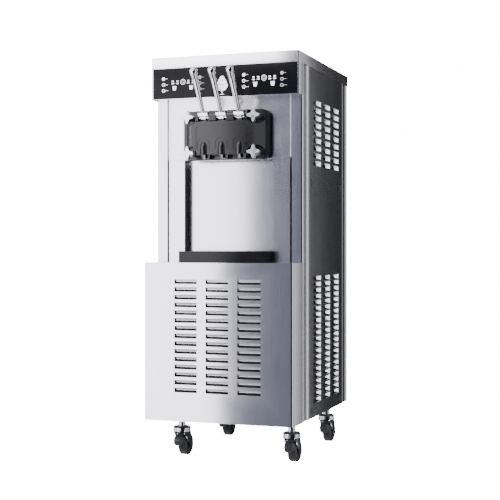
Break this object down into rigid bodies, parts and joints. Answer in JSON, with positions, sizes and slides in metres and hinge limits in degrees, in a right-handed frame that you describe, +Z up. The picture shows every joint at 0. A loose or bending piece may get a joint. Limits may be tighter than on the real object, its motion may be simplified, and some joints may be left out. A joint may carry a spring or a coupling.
{
  "type": "soft serve ice cream machine",
  "caption": "Floor-standing soft-serve ice cream maker with pull levers over outlets, drip tray, louvred steel cabinet, lidded mix hoppers and braked swivel casters.",
  "frame": {"origin": "on the floor under the middle of the machine's bounding box", "axes": "+Z up, the outlets and levers face -Y, +X to the right of a person facing the machine"},
  "size_m": [0.527, 0.7517, 1.4073],
  "materials": {
    "belt_rubber": "matte",
    "black_acetal": "satin",
    "black_plastic": "satin",
    "black_tray": "satin",
    "brushed_stainless": "fine vertical brushed",
    "cast_pulley": "machined",
    "caster_chrome": "plated",
    "caster_rubber": "satin",
    "chrome": "polished",
    "circuit_board": "matte",
    "clear_outlet": "gloss",
    "dasher_steel": "satin",
    "fin_aluminium": "matte",
    "gloss_black": "gloss",
    "knob_silver": "silver satin",
    "painted_iron": "painted",
    "pipe_copper": "drawn",
    "polished_steel": "polished",
    "seal_rubber": "matte",
    "side_stainless": "fine vertical brushed, darker",
    "white_plunger": "satin",
    "zinc_steel": "galvanised"
  },
  "bodies": {
    "root": {"back_panel": "side_stainless", "cable_gland": "black_plastic", "chassis": "zinc_steel", "compressor": "painted_iron", "condenser": "fin_aluminium", "control_board": "circuit_board", "control_housing": "brushed_stainless", "control_panel": "gloss_black", "dispenser_body": "black_acetal", "dispenser_cover": "black_acetal", "dispenser_gasket": "seal_rubber", "dispenser_studs": "polished_steel", "drive_belts": "belt_rubber", "drive_motor": "painted_iron", "fan_motor": "painted_iron", "feed_tubes": "polished_steel", "freezing_cylinders": "brushed_stainless", "front_panel": "brushed_stainless", "front_posts": "brushed_stainless", "hoppers": "brushed_stainless", "lever_pin": "polished_steel", "lower_cover": "brushed_stainless", "nozzles": "clear_outlet", "panel_screws": "black_plastic", "rear_posts": "side_stainless", "refrigerant_pipes": "pipe_copper", "roof_cover": "brushed_stainless", "side_panel_left": "side_stainless", "side_panel_right": "side_stainless", "splash_panel": "brushed_stainless"},
    "lever_left": {"lever_left": "chrome"},
    "plunger_left": {"plunger_left": "white_plunger"},
    "lever_middle": {"lever_middle": "chrome"},
    "plunger_middle": {"plunger_middle": "white_plunger"},
    "lever_right": {"lever_right": "chrome"},
    "plunger_right": {"plunger_right": "white_plunger"},
    "star_knob_lower_left": {"star_knob_lower_left": "knob_silver"},
    "star_knob_upper_left": {"star_knob_upper_left": "knob_silver"},
    "hopper_lid_left": {"hopper_lid_left": "brushed_stainless"},
    "beater_left": {"beater_left": "dasher_steel"},
    "star_knob_lower_right": {"star_knob_lower_right": "knob_silver"},
    "star_knob_upper_right": {"star_knob_upper_right": "knob_silver"},
    "hopper_lid_right": {"hopper_lid_right": "brushed_stainless"},
    "beater_right": {"beater_right": "dasher_steel"},
    "motor_pulley": {"motor_pulley": "cast_pulley"},
    "condenser_fan": {"condenser_fan": "black_plastic"},
    "drip_tray": {"drip_tray": "black_tray"},
    "drip_grid": {"drip_grid": "black_tray"},
    "caster_fork_front_left": {"caster_fork_front_left": "caster_chrome"},
    "caster_wheel_front_left": {"caster_wheel_front_left": "caster_rubber"},
    "brake_pedal_front_left": {"brake_pedal_front_left": "black_plastic"},
    "caster_fork_front_right": {"caster_fork_front_right": "caster_chrome"},
    "caster_wheel_front_right": {"caster_wheel_front_right": "caster_rubber"},
    "brake_pedal_front_right": {"brake_pedal_front_right": "black_plastic"},
    "caster_fork_rear_left": {"caster_fork_rear_left": "caster_chrome"},
    "caster_wheel_rear_left": {"caster_wheel_rear_left": "caster_rubber"},
    "brake_pedal_rear_left": {"brake_pedal_rear_left": "black_plastic"},
    "caster_fork_rear_right": {"caster_fork_rear_right": "caster_chrome"},
    "caster_wheel_rear_right": {"caster_wheel_rear_right": "caster_rubber"},
    "brake_pedal_rear_right": {"brake_pedal_rear_right": "black_plastic"}
  },
  "joints": [
    {"name": "lever_left_pull", "type": "hinge", "parent": "root", "child": "lever_left", "pos_m": [-0.0635, -0.26914, 1.163], "axis": [1, 0, 0], "range_deg": [0, 50]},
    {"name": "plunger_left_lift", "type": "slide", "parent": "root", "child": "plunger_left", "axis": [0, 0, 1], "range_m": [0, 0.0169]},
    {"name": "lever_middle_pull", "type": "hinge", "parent": "root", "child": "lever_middle", "pos_m": [0, -0.26914, 1.163], "axis": [1, 0, 0], "range_deg": [0, 50]},
    {"name": "plunger_middle_lift", "type": "slide", "parent": "root", "child": "plunger_middle", "axis": [0, 0, 1], "range_m": [0, 0.0169]},
    {"name": "lever_right_pull", "type": "hinge", "parent": "root", "child": "lever_right", "pos_m": [0.0635, -0.26914, 1.163], "axis": [1, 0, 0], "range_deg": [0, 50]},
    {"name": "plunger_right_lift", "type": "slide", "parent": "root", "child": "plunger_right", "axis": [0, 0, 1], "range_m": [0, 0.0169]},
    {"name": "star_knob_lower_left_turn", "type": "hinge", "parent": "root", "child": "star_knob_lower_left", "pos_m": [-0.117, -0.25714, 1.0445], "axis": [0, 1, 0], "continuous": true},
    {"name": "star_knob_upper_left_turn", "type": "hinge", "parent": "root", "child": "star_knob_upper_left", "pos_m": [-0.117, -0.25714, 1.164], "axis": [0, 1, 0], "continuous": true},
    {"name": "hopper_lid_left_lift", "type": "slide", "parent": "root", "child": "hopper_lid_left", "axis": [0, 0, 1], "range_m": [0, 0.25]},
    {"name": "beater_left_spin", "type": "hinge", "parent": "root", "child": "beater_left", "pos_m": [-0.0635, -0.05714, 1.104], "axis": [0, 1, 0], "continuous": true},
    {"name": "star_knob_lower_right_turn", "type": "hinge", "parent": "root", "child": "star_knob_lower_right", "pos_m": [0.117, -0.25714, 1.0445], "axis": [0, 1, 0], "continuous": true},
    {"name": "star_knob_upper_right_turn", "type": "hinge", "parent": "root", "child": "star_knob_upper_right", "pos_m": [0.117, -0.25714, 1.164], "axis": [0, 1, 0], "continuous": true},
    {"name": "hopper_lid_right_lift", "type": "slide", "parent": "root", "child": "hopper_lid_right", "axis": [0, 0, 1], "range_m": [0, 0.25]},
    {"name": "beater_right_spin", "type": "hinge", "parent": "root", "child": "beater_right", "pos_m": [0.0635, -0.05714, 1.104], "axis": [0, 1, 0], "continuous": true},
    {"name": "motor_pulley_spin", "type": "hinge", "parent": "root", "child": "motor_pulley", "pos_m": [0, 0.17286, 0.86], "axis": [0, 1, 0], "continuous": true},
    {"name": "condenser_fan_spin", "type": "hinge", "parent": "root", "child": "condenser_fan", "pos_m": [0, -0.12714, 0.345], "axis": [0, 1, 0], "continuous": true},
    {"name": "drip_tray_pull", "type": "slide", "parent": "root", "child": "drip_tray", "axis": [0, -1, 0], "range_m": [0, 0.15]},
    {"name": "drip_grid_lift", "type": "slide", "parent": "drip_tray", "child": "drip_grid", "axis": [0, 0, 1], "range_m": [0, 0.15]},
    {"name": "caster_front_left_swivel", "type": "hinge", "parent": "root", "child": "caster_fork_front_left", "pos_m": [-0.201, -0.13514, 0.13], "axis": [0, 0, 1], "continuous": true},
    {"name": "caster_front_left_roll", "type": "hinge", "parent": "caster_fork_front_left", "child": "caster_wheel_front_left", "pos_m": [-0.201, -0.10014, 0.0375], "axis": [1, 0, 0], "continuous": true},
    {"name": "caster_front_left_brake", "type": "hinge", "parent": "caster_fork_front_left", "child": "brake_pedal_front_left", "pos_m": [-0.201, -0.14014, 0.079], "axis": [1, 0, 0], "range_deg": [0, 12]},
    {"name": "caster_front_right_swivel", "type": "hinge", "parent": "root", "child": "caster_fork_front_right", "pos_m": [0.201, -0.13514, 0.13], "axis": [0, 0, 1], "continuous": true},
    {"name": "caster_front_right_roll", "type": "hinge", "parent": "caster_fork_front_right", "child": "caster_wheel_front_right", "pos_m": [0.201, -0.10014, 0.0375], "axis": [1, 0, 0], "continuous": true},
    {"name": "caster_front_right_brake", "type": "hinge", "parent": "caster_fork_front_right", "child": "brake_pedal_front_right", "pos_m": [0.201, -0.14014, 0.079], "axis": [1, 0, 0], "range_deg": [0, 12]},
    {"name": "caster_rear_left_swivel", "type": "hinge", "parent": "root", "child": "caster_fork_rear_left", "pos_m": [-0.201, 0.29886, 0.13], "axis": [0, 0, 1], "continuous": true},
    {"name": "caster_rear_left_roll", "type": "hinge", "parent": "caster_fork_rear_left", "child": "caster_wheel_rear_left", "pos_m": [-0.201, 0.33386, 0.0375], "axis": [1, 0, 0], "continuous": true},
    {"name": "caster_rear_left_brake", "type": "hinge", "parent": "caster_fork_rear_left", "child": "brake_pedal_rear_left", "pos_m": [-0.201, 0.29386, 0.079], "axis": [1, 0, 0], "range_deg": [0, 12]},
    {"name": "caster_rear_right_swivel", "type": "hinge", "parent": "root", "child": "caster_fork_rear_right", "pos_m": [0.201, 0.29886, 0.13], "axis": [0, 0, 1], "continuous": true},
    {"name": "caster_rear_right_roll", "type": "hinge", "parent": "caster_fork_rear_right", "child": "caster_wheel_rear_right", "pos_m": [0.201, 0.33386, 0.0375], "axis": [1, 0, 0], "continuous": true},
    {"name": "caster_rear_right_brake", "type": "hinge", "parent": "caster_fork_rear_right", "child": "brake_pedal_rear_right", "pos_m": [0.201, 0.29386, 0.079], "axis": [1, 0, 0], "range_deg": [0, 12]}
  ],
  "couplings": [
    {"joint": "plunger_left_lift", "follows": "lever_left_pull", "m_per_rad": 0.019371},
    {"joint": "plunger_middle_lift", "follows": "lever_middle_pull", "m_per_rad": 0.019371},
    {"joint": "plunger_right_lift", "follows": "lever_right_pull", "m_per_rad": 0.019371},
    {"joint": "beater_right_spin", "follows": "beater_left_spin", "ratio": 1},
    {"joint": "motor_pulley_spin", "follows": "beater_left_spin", "ratio": 1.8333}
  ]
}
